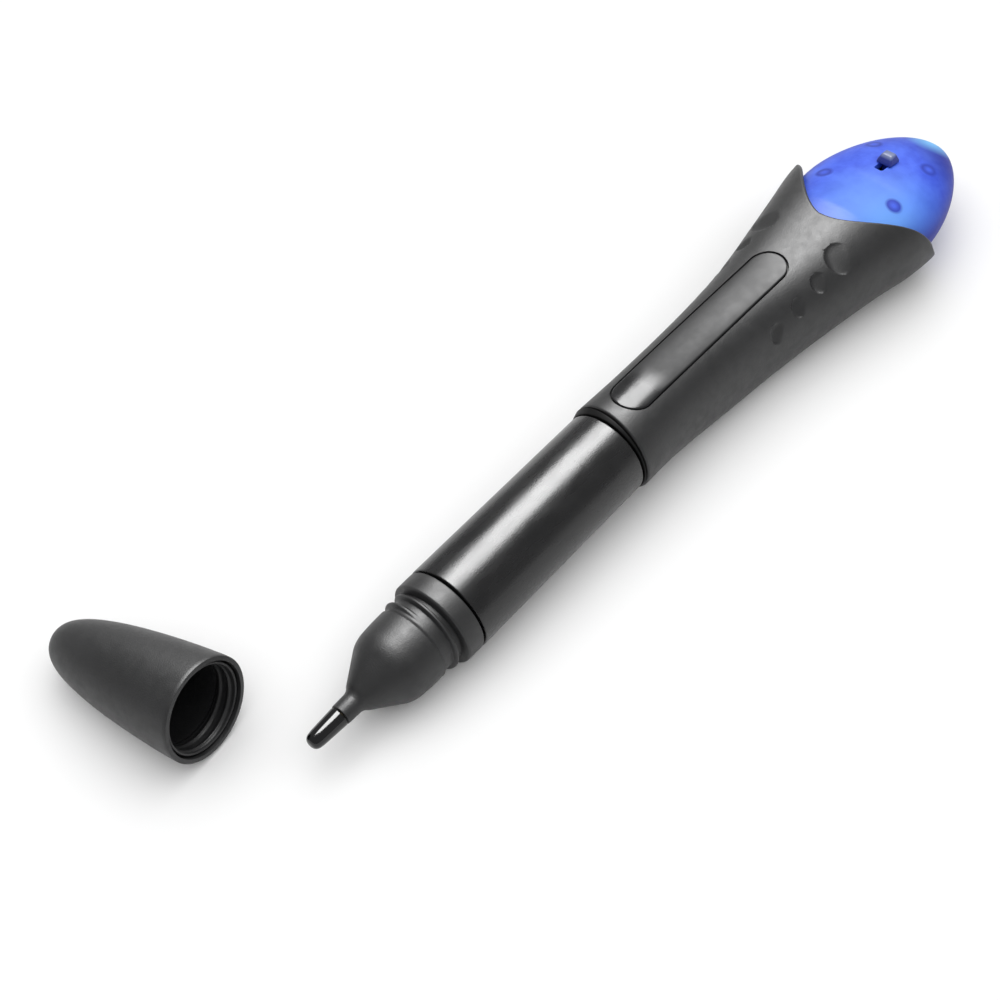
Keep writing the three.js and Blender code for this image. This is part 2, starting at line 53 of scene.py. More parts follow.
# ---- Driving sizes in millimetres, along the pen from the groove between collar and barrel ----
TILT = math.radians(2.78)
COLLAR_R = 8.05
COLLAR_FRONT = -3.7
PEN_HEIGHT = COLLAR_R * math.cos(TILT) - COLLAR_FRONT * math.sin(TILT)
FOOTPRINT_MIDDLE = (45.432, 15.98)
CAP_MOUTH = {"x": -38.3, "y": 15.65, "yaw": -83, "pitch": 7}
CAP = {"length": 32, "r": 9, "belly": 1.35, "nose": 3}
WALL = 1.5
RIM_WALL = 1.35
GAP = 0.3
MOUTH = {"x": 41.9, "lean": 0.6, "edge": 0.35}
RIM = {"x": 101, "side": 13.2, "hook": 2.6, "lip": 5.5, "lip_from": 70, "lip_to": 140}
THREAD_PITCH = 1.9
PAD = {"from": 44.5, "to": 89, "half": 3.55, "thick": 0.5, "recess": 0.8}
DIMPLES = (77.6, 83.7, 89.7, 95.8)
DIMPLE = {"radius": 1.8, "last_radius": 2.8, "across": 8.3, "depth": 0.9}
PRESS = (0.62, 0.78)  # how far a dimple presses towards the middle and down
LENS = {"wall": 1.4, "skirt": 5, "widest": 116, "half": 13.5, "top": 4.65, "rise": 0.187,
        "apex_x": 138.6, "apex_z": -5, "depth": 7}
DECK = {"x": 120, "z": 3.82, "slope": math.radians(12)}
SLOT = {"from": 119.1, "to": 123.9, "half": 0.95}
KNOB_X = 122.4
LENS_POSTS = ((113.2, 7.6), (113.2, -7.6), (126.9, 6), (126.9, -6))
NOSE_ROOT_R = 6.6
BUSH = {"front": 40.8, "flare_from": 40.95, "flare": 0.4, "flare_length": 1.3, "r": 8.05}
CAMERA = {"elevation": 49.28, "azimuth": -134.63, "roll": -5.7, "distance": 350,
          "target": (22.83 - FOOTPRINT_MIDDLE[0], 8.63 - FOOTPRINT_MIDDLE[1], 8.0), "lens": 75.6}

PEN = (Matrix.Translation(Vector((-FOOTPRINT_MIDDLE[0], -FOOTPRINT_MIDDLE[1], PEN_HEIGHT)) * MM)
       @ Matrix.Rotation(-TILT, 4, "Y") @ Matrix.Scale(MM, 4))
DECK_PLACE = PEN @ Matrix.Translation((DECK["x"], 0, DECK["z"])) @ Matrix.Rotation(DECK["slope"], 4, "Y")


# ---- Curves along the pen ----

def along(*pairs):
    """Smooth value along the pen through a few (x, value) pairs, straight on beyond both ends."""
    xs = np.array([p[0] for p in pairs], float)
    ys = np.array([p[1] for p in pairs], float)
    slopes = np.gradient(ys, xs)

    def value(x):
        x = np.clip(x, xs[0], xs[-1])
        i = np.clip(np.searchsorted(xs, x) - 1, 0, len(xs) - 2)
        step = xs[i + 1] - xs[i]
        t = (x - xs[i]) / step
        return ((1 + 2 * t) * (1 - t) ** 2 * ys[i] + t * (1 - t) ** 2 * step * slopes[i]
                + t * t * (3 - 2 * t) * ys[i + 1] + t * t * (t - 1) * step * slopes[i + 1])
    return value


# The housing's section from its mouth to its rim
half_width_at = along((38, 8.45), (42, 8.35), (51, 7.85), (63, 7.95), (71, 8.35), (79, 9.1), (87, 10.3),
                      (95, 11.75), (103, 13.2), (112, 15), (116, 15.3), (121, 14.8))
top_at = along((38, 8.55), (50, 8.6), (58, 8.35), (74, 7.65), (89, 7.05), (96, 7.45), (104, 8.4), (121, 8.8))
centre_at = along((38, 0.1), (51, -0.5), (67, -1.9), (79, -2.5), (99, -2.5), (109, -3.1), (121, -4.2))
bottom_at = along((38, -8.2), (47, -8.9), (55, -10.15), (67, -11.8), (79, -12.6), (90, -13), (99, -13.4),
                  (112, -14.1), (121, -13.9))
squareness_at = along((38, 2), (44, 2.02), (55, 2.2), (121, 2.25))


def table_at(x):
    """Height of the table in the pen's tilted frame."""
    return -(PEN_HEIGHT + x * math.sin(TILT)) / math.cos(TILT)


def egg(angle, half_width, centre, top, bottom, squareness):
    """Across and up values of an egg-shaped section at angles from the top."""
    across, up = np.sin(angle), np.cos(angle)
    power = 2 / squareness
    half = np.where(up > 0, top - centre, centre - bottom)
    y = half_width * np.sign(across) * np.abs(across) ** power
    return y, centre + half * np.sign(up) * np.abs(up) ** power


def housing_points(x, angle, depth):
    """Points on the housing's surface, or a given depth below it."""
    y, z = egg(angle, half_width_at(x) - depth, centre_at(x), top_at(x) - depth, bottom_at(x) + depth,
               squareness_at(x))
    flat = table_at(x) + depth
    soft = 0.12  # the flat's edge is blended a little
    z = np.where(z > flat + soft, z, np.where(z < flat - soft, flat, flat + (z - flat + soft) ** 2 / (4 * soft)))
    return np.stack([x, y, z], axis=-1)


def housing_top(x, y):
    """Height of the housing's top surface over a point."""
    n = squareness_at(x)
    share = np.clip(np.abs(y) / half_width_at(x), 0, 1)
    return centre_at(x) + (top_at(x) - centre_at(x)) * (1 - share ** n) ** (1 / n)


def round_angles(count):
    return np.linspace(0, 2 * math.pi, count, endpoint=False)


def circle(x, r, angle):
    """Points round the x axis; x and r are numbers or one value for each angle."""
    return np.stack([np.broadcast_to(x, angle.shape), r * np.sin(angle), r * np.cos(angle)], axis=-1)


def mouth_x(angle):
    """The housing's front edge, which leans a little across the pen."""
    return MOUTH["x"] + MOUTH["lean"] * np.sin(angle)


def smoothstep(x, low, high):
    t = np.clip((x - low) / (high - low), 0, 1)
    return t * t * (3 - 2 * t)


def rim_x(angle):
    """The scooped rim: forward at the top, further back at the sides and at the lip below, with a hook that
    reaches further back on the far side of the top."""
    from_top = np.abs(np.arctan2(np.sin(angle), np.cos(angle)))
    side = np.sin(np.minimum(from_top, math.pi / 2)) ** 2
    hook = np.where(from_top < math.pi / 2, np.maximum(0, np.sin(2 * angle)), 0)
    lip = smoothstep(np.degrees(from_top), RIM["lip_from"], RIM["lip_to"])
    return RIM["x"] + RIM["side"] * side + RIM["hook"] * hook + RIM["lip"] * lip


def taper(t, start, end):
    """1 at t = 0, falling to 0 at t = 1 along a superellipse."""
    return (1 - np.clip(t, 0, 1) ** start) ** (1 / end)


def lens_points(x, angle, depth):
    """Points on the lens's surface, or a given depth below it: inside the housing up front, tapering behind."""
    widest, apex_z = LENS["widest"], LENS["apex_z"]
    t = np.maximum(0, (x - widest) / (LENS["apex_x"] - depth - widest))
    inside = WALL + GAP
    before = x < widest
    slope_top = LENS["top"] + np.maximum(0, widest - x) * LENS["rise"]
    top = np.minimum(slope_top, top_at(x) - inside) - depth
    half = np.minimum(LENS["half"], half_width_at(x) - inside) - depth
    centre = np.where(before, centre_at(x), centre_at(widest) * (1 - t) + apex_z * t)
    half = np.where(before, half, (LENS["half"] - depth) * taper(t, 1.7, 1.8))
    top = np.where(before, top, apex_z + (LENS["top"] - depth - apex_z) * taper(t, 1.25, 1.75))
    bottom = apex_z - (LENS["depth"] - depth) * taper(t, 2.4, 2)
    y, z = egg(angle, half, centre, top, bottom, 2.2)
    return np.stack([x, y, z], axis=-1)


def lens_top(x, y):
    """Height of the lens's upper surface over a point."""
    angles = np.linspace(-math.pi / 2, math.pi / 2, 721)
    points = lens_points(np.full_like(angles, x), angles, 0)
    return float(np.interp(y, points[:, 1], points[:, 2]))


# ---- Mesh helpers ----

def finish_mesh(obj, sharp=38):
    """Smooth shading, broken at edges sharper than an angle in degrees."""
    mesh = obj.data
    for polygon in mesh.polygons:
        polygon.use_smooth = True
    mesh.set_sharp_from_angle(angle=math.radians(sharp))
    return obj


def add_object(name, mesh):
    obj = bpy.data.objects.new(name, mesh)
    bpy.context.scene.collection.objects.link(obj)
    return obj


def skin(name, rings, place, loop=False):
    """Mesh through rings of points that close round; collapsed rings become poles, loop joins last to first."""
    points = np.asarray(rings, float)
    count, around = points.shape[:2]
    places = np.array(place)
    world = points.reshape(-1, 3) @ places[:3, :3].T + places[:3, 3]
    faces = []
    for i in range(count if loop else count - 1):
        low, high = i * around, ((i + 1) % count) * around
        for j in range(around):
            k = (j + 1) % around
            faces.append((low + j, low + k, high + k, high + j))
    mesh = bpy.data.meshes.new(name)
    mesh.from_pydata(world.tolist(), [], faces)
    work = bmesh.new()
    work.from_mesh(mesh)
    bmesh.ops.remove_doubles(work, verts=work.verts, dist=1e-8)
    bmesh.ops.dissolve_degenerate(work, edges=work.edges, dist=1e-9)
    bmesh.ops.recalc_face_normals(work, faces=work.faces)
    work.to_mesh(mesh)
    work.free()
    return finish_mesh(add_object(name, mesh))


def fillet(points, steps=6):
    """Rounds the corners of a profile. Each point is (x, r) or (x, r, corner radius)."""
    out = []
    count = len(points)
    for i, point in enumerate(points):
        here = np.array(point[:2], float)
        radius = point[2] if len(point) > 2 else 0
        before = np.array(points[i - 1][:2], float) - here
        after = np.array(points[(i + 1) % count][:2], float) - here
        a, b = np.linalg.norm(before), np.linalg.norm(after)
        if radius <= 0 or a < 1e-9 or b < 1e-9:
            out.append(here)
            continue
        reach = min(radius, 0.48 * a, 0.48 * b)
        start, end = here + before / a * reach, here + after / b * reach
        for s in np.linspace(0, 1, steps):
            out.append((1 - s) ** 2 * start + 2 * s * (1 - s) * here + s * s * end)
    return np.array(out)


def turned(name, points, place, segments=128, rounded=True):
    """Turned piece round its own x axis from a closed profile of (x, r[, corner radius])."""
    profile = fillet(points) if rounded else points
    return skin(name, [circle(x, r, round_angles(segments)) for x, r in profile], place, loop=True)


def rounded_outline(half_length, half_width, corner, steps):
    """Rectangle in x and y with rounded corners."""
    points = []
    for quarter, (sx, sy) in enumerate(((1, 1), (-1, 1), (-1, -1), (1, -1))):
        for t in np.linspace(0, math.pi / 2, steps):
            a = quarter * math.pi / 2 + t
            points.append((sx * (half_length - corner) + corner * math.cos(a),
                           sy * (half_width - corner) + corner * math.sin(a)))
    return np.array(points)


def stacked(name, outline, levels, place):
    """Mesh through copies of an outline at (height, scale in x, scale in y) levels."""
    rings = [np.stack([outline[:, 0] * sx, outline[:, 1] * sy, np.full(len(outline), z)], axis=-1)
             for z, sx, sy in levels]
    return skin(name, rings, place)


def boolean_cut(obj, cutter):
    """Cuts one object out of another and removes the cutter."""
    modifier = obj.modifiers.new("cut", "BOOLEAN")
    modifier.object = cutter
    modifier.operation = "DIFFERENCE"
    modifier.solver = "EXACT"
    graph = bpy.context.evaluated_depsgraph_get()
    mesh = bpy.data.meshes.new_from_object(obj.evaluated_get(graph))
    obj.modifiers.clear()
    obj.data = mesh
    bpy.data.objects.remove(cutter)
    return finish_mesh(obj)


def finished(obj, body, slot, material, *replaced):
    """Gives a piece its material and the body it rides, and hides the nodes it replaces; the slot is not used.
    """
    obj.data.materials.clear()
    obj.data.materials.append(material)
    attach(obj, body)
    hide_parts(*replaced)


# ---- Materials ----

class Finish:
    """A Principled material and short calls that add the nodes that vary its surface."""

    def __init__(self, name, color, roughness, metallic=0.0):
        self.material = bpy.data.materials.new(name)
        self.material.use_nodes = True
        self.nodes = self.material.node_tree.nodes
        self.links = self.material.node_tree.links
        self.shader = self.nodes["Principled BSDF"]
        self.set("Base Color", (*color, 1))
        self.set("Roughness", roughness)
        self.set("Metallic", metallic)
        self.place = self.nodes.new("ShaderNodeTexCoord").outputs["Object"]

    def set(self, socket, value):
        self.shader.inputs[socket].default_value = value
        return self

    def noise(self, per_mm, detail=3.0, stretch=(1, 1, 1), roughness=0.55):
        mapping = self.nodes.new("ShaderNodeMapping")
        mapping.inputs["Scale"].default_value = [s * per_mm / MM for s in stretch]
        self.links.new(self.place, mapping.inputs["Vector"])
        texture = self.nodes.new("ShaderNodeTexNoise")
        texture.inputs["Scale"].default_value = 1.0
        texture.inputs["Detail"].default_value = detail
        texture.inputs["Roughness"].default_value = roughness
        self.links.new(mapping.outputs["Vector"], texture.inputs["Vector"])
        return texture.outputs["Fac"]

    def ramp(self, factor, *stops):
        node = self.nodes.new("ShaderNodeValToRGB")
        elements = node.color_ramp.elements
        while len(elements) < len(stops):
            elements.new(0.5)
        for element, (position, color) in zip(elements, stops):
            element.position = position
            element.color = (*color, 1)
        self.links.new(factor, node.inputs["Fac"])
        return node.outputs["Color"]

    def mix_color(self, factor, a, b):
        node = self.nodes.new("ShaderNodeMix")
        node.data_type = "RGBA"
        for socket, value in (("A", a), ("B", b)):
            target = [s for s in node.inputs if s.name == socket and s.type == "RGBA"][0]
            if isinstance(value, bpy.types.NodeSocket):
                self.links.new(value, target)
            else:
                target.default_value = (*value, 1)
        self.links.new(factor, node.inputs[0])
        return [s for s in node.outputs if s.type == "RGBA"][0]

    def range(self, factor, low, high, from_low=0.3, from_high=0.7):
        node = self.nodes.new("ShaderNodeMapRange")
        node.inputs["From Min"].default_value = from_low
        node.inputs["From Max"].default_value = from_high
        node.inputs["To Min"].default_value = low
        node.inputs["To Max"].default_value = high
        self.links.new(factor, node.inputs["Value"])
        return node.outputs["Result"]

    def add(self, a, b):
        node = self.nodes.new("ShaderNodeMath")
        node.operation = "ADD"
        self.links.new(a, node.inputs[0])
        self.links.new(b, node.inputs[1])
        return node.outputs[0]

    def axis(self, index):
        node = self.nodes.new("ShaderNodeSeparateXYZ")
        self.links.new(self.place, node.inputs["Vector"])
        return node.outputs[index]

    def near(self, point, inner_mm, outer_mm):
        """1 close to a point in the shared frame, falling to 0 further away."""
        node = self.nodes.new("ShaderNodeVectorMath")
        node.operation = "DISTANCE"
        node.inputs[1].default_value = point
        self.links.new(self.place, node.inputs[0])
        return self.range(node.outputs["Value"], 1.0, 0.0, inner_mm * MM, outer_mm * MM)

    def color(self, socket):
        self.links.new(socket, self.shader.inputs["Base Color"])
        return self

    def rough(self, socket):
        self.links.new(socket, self.shader.inputs["Roughness"])
        return self

    def bump(self, height, strength, distance_mm):
        node = self.nodes.new("ShaderNodeBump")
        node.inputs["Strength"].default_value = strength
        node.inputs["Distance"].default_value = distance_mm * MM
        self.links.new(height, node.inputs["Height"])
        previous = self.shader.inputs["Normal"]
        if previous.is_linked:
            self.links.new(previous.links[0].from_socket, node.inputs["Normal"])
        self.links.new(node.outputs["Normal"], previous)
        return self


def housing_plastic():
    f = Finish("housing_plastic", (0.012, 0.0122, 0.013), 0.42)
    broad = f.noise(0.12, 2)
    f.color(f.ramp(broad, (0.3, (0.0105, 0.0107, 0.0113)), (0.7, (0.014, 0.0142, 0.015))))
    f.rough(f.range(f.noise(0.6, 4), 0.42, 0.52))
    f.bump(f.noise(4.5, 2), 0.6, 0.06)
    return f.material


def gloss_black():
    f = Finish("gloss_black", (0.005, 0.005, 0.0055), 0.24)
    f.color(f.ramp(f.noise(0.2, 2), (0.3, (0.004, 0.004, 0.0045)), (0.7, (0.007, 0.007, 0.0075))))
    f.rough(f.range(f.noise(0.5, 5, stretch=(0.3, 1, 1)), 0.22, 0.33))
    f.bump(f.noise(4.5, 3), 0.3, 0.05)
    return f.material


def tip_gloss():
    f = Finish("tip_gloss", (0.003, 0.003, 0.0035), 0.1)
    f.color(f.ramp(f.noise(0.3, 2), (0.3, (0.0025, 0.0025, 0.003)), (0.7, (0.004, 0.004, 0.0045))))
    f.rough(f.range(f.noise(0.4, 2), 0.08, 0.13))
    return f.material


def bush_painted_shade():
    # Darker than the gloss black: painted shade for the dark gap between barrel and housing.
    f = Finish("bush_painted_shade", (0.003, 0.003, 0.003), 0.5)
    f.color(f.ramp(f.noise(0.6, 3), (0.3, (0.002, 0.002, 0.002)), (0.7, (0.004, 0.004, 0.004))))
    f.set("Specular IOR Level", 0.15)
    f.bump(f.noise(2.5, 2), 0.2, 0.04)
    return f.material


def pad_film():
    f = Finish("pad_film", (0.012, 0.0122, 0.013), 0.24)
    f.color(f.ramp(f.noise(0.3, 4), (0.3, (0.010, 0.0102, 0.011)), (0.7, (0.018, 0.0183, 0.0195))))
    front = PEN @ Vector((PAD["from"], 0, 8))
    grain = f.range(f.noise(0.5, 3), -0.04, 0.04)
    middle = f.range(f.axis(0), 0.24, 0.6, front.x + 6 * MM, front.x + 10 * MM)
    rear = f.range(f.axis(0), 0.0, -0.18, front.x + 18 * MM, front.x + 40 * MM)
    f.rough(f.add(f.add(middle, rear), grain))
    f.set("Specular IOR Level", 0.35)
    f.bump(f.noise(1.2, 3), 0.15, 0.05)
    return f.material


def lens_blue():
    """Frosted blue, clouded at random, and the posts behind it show through. Light and shade are painted into
    the colour: a lighter patch at its front, painted shade that makes it deeper blue low on its sides and round
    its tail, and a painted highlight near its apex.
    """
    f = Finish("lens_blue", (0.03, 0.1, 0.72), 0.36)
    cloud_and_painted_light = f.ramp(f.noise(0.28, 4), (0.3, (0.04, 0.10, 0.80)), (0.7, (0.09, 0.20, 1.0)))
    # Painted light: a lighter blue patch on the front of the lens.
    front = PEN @ Vector((109, -9, 3))
    cloud_and_painted_light = f.mix_color(f.near(front, 2.0, 16.0), cloud_and_painted_light, (0.16, 0.40, 1.0))
    # Painted shade: the lens turns deeper blue towards its bottom, on the side walls that face away from the
    # light.
    height = f.range(f.axis(2), 0.0, 1.0, 0.0105, 0.0165)
    color = f.mix_color(height, (0.006, 0.018, 0.32), cloud_and_painted_light)
    # Painted shade: deeper blue round the lower tail of the lens.
    shaded_tail = PEN @ Vector((137.5, -9, 0))
    color = f.mix_color(f.near(shaded_tail, 5.0, 11.0), color, (0.007, 0.019, 0.34))
    for x, y in LENS_POSTS:
        post = PEN @ Vector((x, y, lens_top(x, y)))
        color = f.mix_color(f.near(post, 1.2, 1.9), color, (0.02, 0.05, 0.50))
        color = f.mix_color(f.near(post, 0.3, 1.2), color, (0.055, 0.13, 0.82))
    # Painted highlight: a bright light-blue patch near the apex.
    color = f.mix_color(f.near(PEN @ Vector((137.2, -0.5, -1.2)), 1.5, 5.5), color, (0.18, 0.55, 1.0))
    f.color(color)
    f.rough(f.range(f.noise(1.2, 3), 0.42, 0.5))
    f.bump(f.noise(3.0, 2), 0.1, 0.03)
    f.set("Transmission Weight", 0.12).set("IOR", 1.45).set("Specular IOR Level", 0.2)
    return f.material


def rubber():
    f = Finish("seal_rubber", (0.01, 0.01, 0.011), 0.8)
    f.color(f.ramp(f.noise(0.8, 3), (0.3, (0.008, 0.008, 0.009)), (0.7, (0.016, 0.016, 0.017))))
    f.bump(f.noise(3.0, 3), 0.3, 0.05)
    return f.material


def felt():
    f = Finish("felt", (0.62, 0.5, 0.28), 0.95)
    fibres = f.noise(4.0, 4, stretch=(0.12, 1, 1))
    f.color(f.ramp(fibres, (0.3, (0.48, 0.36, 0.18)), (0.7, (0.72, 0.6, 0.36))))
    f.bump(fibres, 0.6, 0.15)
    return f.material


def steel():
    f = Finish("steel", (0.6, 0.61, 0.63), 0.25, 1.0)
    grain = f.noise(2.5, 4, stretch=(1, 0.1, 1))
    f.color(f.ramp(grain, (0.3, (0.52, 0.53, 0.55)), (0.7, (0.68, 0.69, 0.71))))
    f.rough(f.range(grain, 0.2, 0.36))
    f.bump(grain, 0.1, 0.02)
    return f.material


def white_plastic():
    f = Finish("white_plastic", (0.7, 0.72, 0.74), 0.45)
    f.color(f.ramp(f.noise(0.3, 3), (0.3, (0.64, 0.66, 0.69)), (0.7, (0.74, 0.76, 0.78))))
    f.bump(f.noise(2.5, 2), 0.15, 0.05)
    return f.material


def board_green():
    f = Finish("board_green", (0.012, 0.1, 0.04), 0.35)
    traces = f.noise(0.7, 1, stretch=(1, 3, 1))
    f.color(f.ramp(traces, (0.46, (0.010, 0.085, 0.034)), (0.5, (0.025, 0.17, 0.07))))
    f.bump(traces, 0.3, 0.04)
    return f.material


def lamp_clear():
    f = Finish("lamp_clear", (0.8, 0.72, 0.98), 0.08)
    f.color(f.ramp(f.noise(0.5, 2), (0.3, (0.74, 0.66, 0.95)), (0.7, (0.85, 0.8, 1.0))))
    f.set("Transmission Weight", 0.8).set("IOR", 1.5)
    f.bump(f.noise(1.0, 1), 0.05, 0.02)
    return f.material


def knob_grey():
    """Painted light and shade: a light grey lit top, and a lower part painted deep blue as shade tinted by the
    lens around it.
    """
    f = Finish("knob_grey", (0.5, 0.53, 0.58), 0.45)
    lit_top_and_shade = f.range(f.axis(2), 0.0, 1.0, KNOB_TOP - 2.2 * MM, KNOB_TOP)
    # Painted light and shade: grey on the lit top, deep blue shade lower down.
    f.color(f.ramp(lit_top_and_shade, (0.72, (0.006, 0.02, 0.22)), (0.87, (0.14, 0.18, 0.36))))
    f.bump(f.noise(2.5, 2), 0.15, 0.04)
    return f.material


def wire_red():
    f = Finish("wire_red", (0.35, 0.01, 0.01), 0.4)
    f.color(f.ramp(f.noise(0.8, 2), (0.3, (0.28, 0.008, 0.008)), (0.7, (0.4, 0.014, 0.014))))
    f.bump(f.noise(2.0, 2), 0.15, 0.03)
    return f.material


KNOB_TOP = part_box("switch_knob")[1].z

MATERIALS = {
    "housing_plastic": housing_plastic(),
    "gloss_black": gloss_black(),
    "pad_film": pad_film(),
    "lens_blue": lens_blue(),
    "seal_rubber": rubber(),
    "felt": felt(),
    "steel": steel(),
    "white_plastic": white_plastic(),
    "board_green": board_green(),
    "lamp_clear": lamp_clear(),
    "knob_grey": knob_grey(),
    "wire_red": wire_red(),
}

for row in frame["record"]["subparts"]:
    node = frame["nodes"][row["node"]]
    node.data.materials.clear()
    node.data.materials.append(MATERIALS[row["material_slot"]])
    finish_mesh(node, 30)


def dress(obj, body, slot, *replaced):
    """Finishes a piece with its slot's own material."""
    finished(obj, body, slot, MATERIALS[slot], *replaced)


# ---- Marker cartridge ----

def thread_height(x, angle):
    """Rib height of the nose's short thread, which fades out at both its ends."""
    turn = angle / (2 * math.pi)
    height = np.zeros_like(x)
    for lap in range(-1, 3):
        run = turn + lap
        middle = -6.9 + THREAD_PITCH * run
        rib = np.exp(-((x - middle) / 0.36) ** 4)
        fade = smoothstep(run, -0.05, 0.12) * (1 - smoothstep(run, 1.12, 1.3))
        height = np.maximum(height, 0.75 * rib * fade)
    return height


def nose():
    """Nozzle and cone, the neck with its thread, the collar, then the spigot and the bore inside."""
    angle = round_angles(160)
    front = fillet([
        (-24.9, 0.95), (-24.9, 1.84, 0.12), (-21.9, 1.92, 0.5), (-21.3, 2.18, 0.5), (-20.8, 2.65, 0.6),
        (-15.1, 6.3, 1.2), (-13.6, 6.74, 0.9), (-11.2, 6.92, 1.2), (-8.3, 6.97, 0.1),
    ])
    base = along((-8.25, 6.97), (-7.7, 6.65), (-7.2, NOSE_ROOT_R), (-3.95, NOSE_ROOT_R))
    neck = [(x, base(x) + thread_height(np.full_like(angle, x), angle)) for x in np.linspace(-8.25, -4.0, 46)]
    back = fillet([
        (-3.95, NOSE_ROOT_R), (COLLAR_FRONT, 7.85, 0.1), (-3.45, COLLAR_R, 0.2), (-0.15, COLLAR_R, 0.2),
        (-0.15, 6), (5.5, 6), (5.5, 5), (-12, 5), (-18.6, 0.95),
    ])
    return skin("nose_fine", [circle(x, r, angle) for x, r in [*front, *neck, *back]], PEN, loop=True)


dress(nose(), "cartridge", "housing_plastic", "nose_cone")
dress(turned("barrel_fine", [
    (0.3, 8.1, 0.25), (40.5, 7.9, 0.3), (40.5, 5.1), (57, 5.1, 0.4), (57, 4), (39, 4), (37.5, 6.6), (2, 6.6),
    (2, 7.2), (0.3, 7.2),
], PEN, 160), "cartridge", "gloss_black", "marker_barrel")
finished(turned("tip_fine", [
    (-31.7, 0), (-31.67, 0.62, 0.3), (-31.45, 1.08, 0.3), (-30.95, 1.4, 0.4), (-30, 1.55, 0.6),
    (-25.2, 1.78, 0.12), (-25.2, 0.75), (-29.6, 0.75), (-29.6, 0),
], PEN, 96), "nib_cover", "gloss_black", tip_gloss(), "tip_cover")


# ---- Grip ----

def dimple_depth(points):
    """How deep the finger dimples press in at the given surface points: sharp in front, fading to the back."""
    depth = np.zeros(points.shape[:-1])
    for x in DIMPLES:
        radius = DIMPLE["last_radius"] if x == DIMPLES[-1] else DIMPLE["radius"]
        for side in (1, -1):
            place = math.asin((DIMPLE["across"] / half_width_at(x)) ** (squareness_at(x) / 2)) * side
            middle = housing_points(np.array(x, float), np.array(place), 0)
            offset = points - middle
            across = offset[..., 1] * side * PRESS[0] - offset[..., 2] * PRESS[1]
            u = offset[..., 0] / radius
            v = across / radius
            inside = np.clip(1 - u * u - v * v, 0, 1)
            close_by = np.linalg.norm(offset, axis=-1) < 2 * radius
            fade = np.clip(0.5 - 0.75 * u - 0.35 * v, 0, 1)
            depth = np.maximum(depth, close_by * DIMPLE["depth"] * inside ** 0.4 * fade)
    return depth


def housing():
    """Rounded mouth, pressed outer surface, rounded rim, then the inner surface back to the mouth."""
    angle = round_angles(224)
    mouth, edge = mouth_x(angle), MOUTH["edge"]
    rings = []
    for turn in np.linspace(0, math.pi / 2, 6):
        rings.append(housing_points(mouth + edge * (1 - math.sin(turn)), angle, edge * (1 - math.cos(turn))))
    rings.reverse()
    rounding = 0.8 * RIM_WALL / 2
    start, end = mouth + edge, rim_x(angle) - rounding
    outer = np.array([housing_points(start + (end - start) * share, angle, 0.0)
                      for share in np.linspace(0, 1, 300)])
    inward = np.stack([np.zeros_like(angle), -PRESS[0] * np.sign(np.sin(angle)),
                       np.full_like(angle, -PRESS[1])], axis=-1)
    outer += dimple_depth(outer)[..., None] * inward
    rings += list(outer[1:])
    for turn in np.linspace(0, math.pi, 9)[1:-1]:
        rings.append(housing_points(end + rounding * math.sin(turn), angle, RIM_WALL / 2 * (1 - math.cos(turn))))
    for share in np.linspace(1, 0, 60):
        wall = WALL + (RIM_WALL - WALL) * share ** 3
        rings.append(housing_points(mouth + (end - mouth) * share, angle, wall))
    return skin("housing_fine", rings, PEN, loop=True)


def pad_outline(margin, count):
    """Points round the oval pad, a margin outside it, and the matching points on its middle line."""
    r = PAD["half"]
    front, back = PAD["from"] + r, PAD["to"] - r
    length = back - front
    x, y, middle = np.zeros((3, count))
    for i, d in enumerate(np.linspace(0, 2 * length + 2 * math.pi * r, count, endpoint=False)):
        if d < length:
            x[i], y[i], middle[i] = front + d, r + margin, front + d
        elif d < length + math.pi * r:
            a = (d - length) / r
            x[i], y[i], middle[i] = back + (r + margin) * math.sin(a), (r + margin) * math.cos(a), back
        elif d < 2 * length + math.pi * r:
            e = d - length - math.pi * r
            x[i], y[i], middle[i] = back - e, -r - margin, back - e
        else:
            a = (d - 2 * length - math.pi * r) / r
            x[i], y[i], middle[i] = front - (r + margin) * math.sin(a), -(r + margin) * math.cos(a), front
    return x, y, middle


def pad_solid(name, margin, top, bottom, edge=0.0):
    """Slab with the pad's outline that follows the housing's top between two depths."""
    x, y, middle = pad_outline(margin, 260)
    rounding = edge / PAD["half"]

    def ring(scale, depth):
        px, py = middle + (x - middle) * scale, y * scale
        return np.stack([px, py, housing_top(px, py) - depth], axis=-1)

    rings = [ring(scale, top) for scale in (0, 0.15, 0.3, 0.45, 0.6, 0.72, 0.82, 0.9, 1 - rounding)]
    if edge:
        rings += [ring(1 - rounding * (1 - math.sin(turn)), top + edge * (1 - math.cos(turn)))
                  for turn in np.linspace(0, math.pi / 2, 5)[1:]]
    rings += [ring(scale, bottom) for scale in (1, 0.8, 0.6, 0.3, 0)]
    return skin(name, rings, PEN)


def bush():
    """Ring between barrel and housing, flared a little at its back, with a long thin sleeve inside."""
    angle = round_angles(128)
    back, front, flare_from, r = mouth_x(angle) - GAP, BUSH["front"], BUSH["flare_from"], BUSH["r"]
    back_r = r + BUSH["flare"] * np.clip((back - flare_from) / BUSH["flare_length"], 0, 1)
    profile = [(front, 5.4), (front, 7.85), (40.83, 7.97), (flare_from, r), (back, back_r), (back, 5.9),
               (56.5, 5.9), (56.5, 5.4)]
    return skin("bush_fine", [circle(x, radius, angle) for x, radius in profile], PEN, loop=True)


housing_cut = boolean_cut(housing(), pad_solid("pad_cutter", 0.28, -4, PAD["recess"]))
dress(housing_cut, "grip", "housing_plastic", "grip_housing")
dress(pad_solid("pad_fine", 0, 0.02, PAD["thick"], edge=0.22), "grip", "pad_film", "label_pad")
finished(bush(), "grip", "gloss_black", bush_painted_shade(), "grip_bush")


# ---- Lamp head ----

